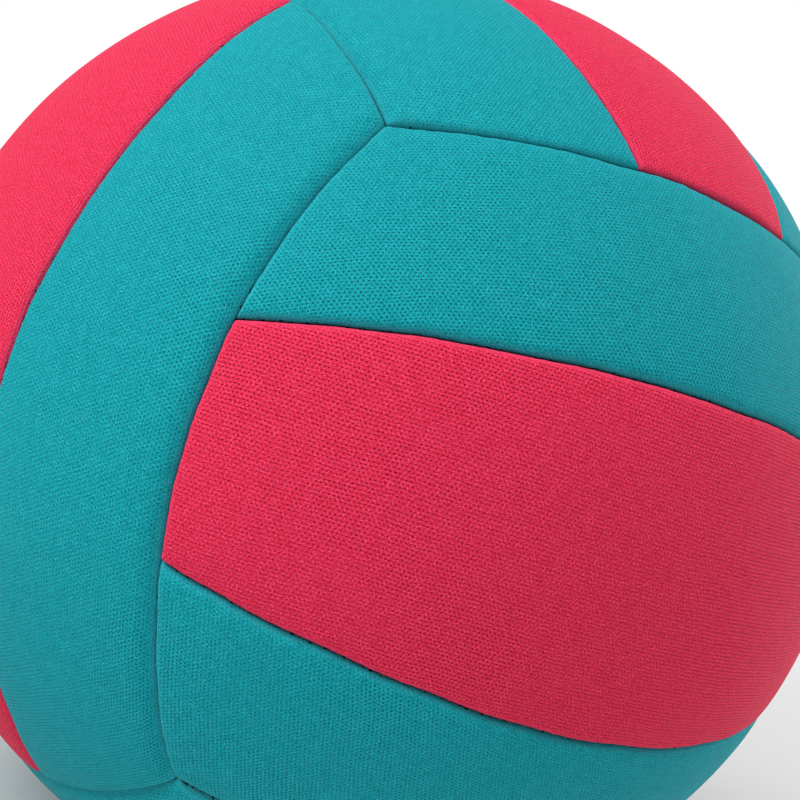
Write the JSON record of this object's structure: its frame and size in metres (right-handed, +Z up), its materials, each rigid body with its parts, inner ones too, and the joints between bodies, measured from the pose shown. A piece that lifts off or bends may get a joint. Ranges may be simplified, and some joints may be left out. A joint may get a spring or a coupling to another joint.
{
  "type": "volleyball",
  "caption": "Soft padded volleyball with knitted strip panels sewn round a rubber bladder, and a needle valve set in one panel.",
  "frame": {"origin": "centre of the small flat that the ball rests on", "axes": "+Z up, +X out through the valve, -Y out of the front face whose strips run along X"},
  "size_m": [0.2097, 0.21, 0.2095],
  "materials": {
    "teal_knit": "matt warp-knitted face over foam, with small staggered pin-holes",
    "pink_knit": "matt warp-knitted face over foam, with small staggered pin-holes",
    "seam_thread": "waxed sewing thread",
    "bladder_rubber": "smooth moulded rubber",
    "valve_rubber": "matt moulded rubber",
    "backing_cloth": "plain rubberised cloth"
  },
  "bodies": {
    "root": {"front_lower_panel": "teal_knit", "front_middle_panel": "pink_knit", "front_upper_panel": "teal_knit", "back_lower_panel": "teal_knit", "back_middle_panel": "pink_knit", "back_upper_panel": "teal_knit", "left_front_panel": "teal_knit", "left_middle_panel": "pink_knit", "left_back_panel": "teal_knit", "right_back_panel": "teal_knit", "right_middle_panel": "pink_knit", "right_front_panel": "teal_knit", "top_right_panel": "teal_knit", "top_middle_panel": "pink_knit", "top_left_panel": "teal_knit", "bottom_left_panel": "teal_knit", "bottom_middle_panel": "pink_knit", "bottom_right_panel": "teal_knit", "front_lower_strip_seam": "seam_thread", "front_upper_strip_seam": "seam_thread", "front_to_bottom_seam": "seam_thread", "front_to_top_seam": "seam_thread", "back_lower_strip_seam": "seam_thread", "back_upper_strip_seam": "seam_thread", "back_to_bottom_seam": "seam_thread", "back_to_top_seam": "seam_thread", "left_front_strip_seam": "seam_thread", "left_back_strip_seam": "seam_thread", "left_to_front_seam": "seam_thread", "left_to_back_seam": "seam_thread", "right_back_strip_seam": "seam_thread", "right_front_strip_seam": "seam_thread", "right_to_back_seam": "seam_thread", "right_to_front_seam": "seam_thread", "top_right_strip_seam": "seam_thread", "top_left_strip_seam": "seam_thread", "top_to_right_seam": "seam_thread", "top_to_left_seam": "seam_thread", "bottom_left_strip_seam": "seam_thread", "bottom_right_strip_seam": "seam_thread", "bottom_to_left_seam": "seam_thread", "bottom_to_right_seam": "seam_thread", "bladder": "bladder_rubber", "valve_backing_ring": "backing_cloth", "valve_housing": "valve_rubber", "valve_core": "valve_rubber"}
  },
  "joints": []
}
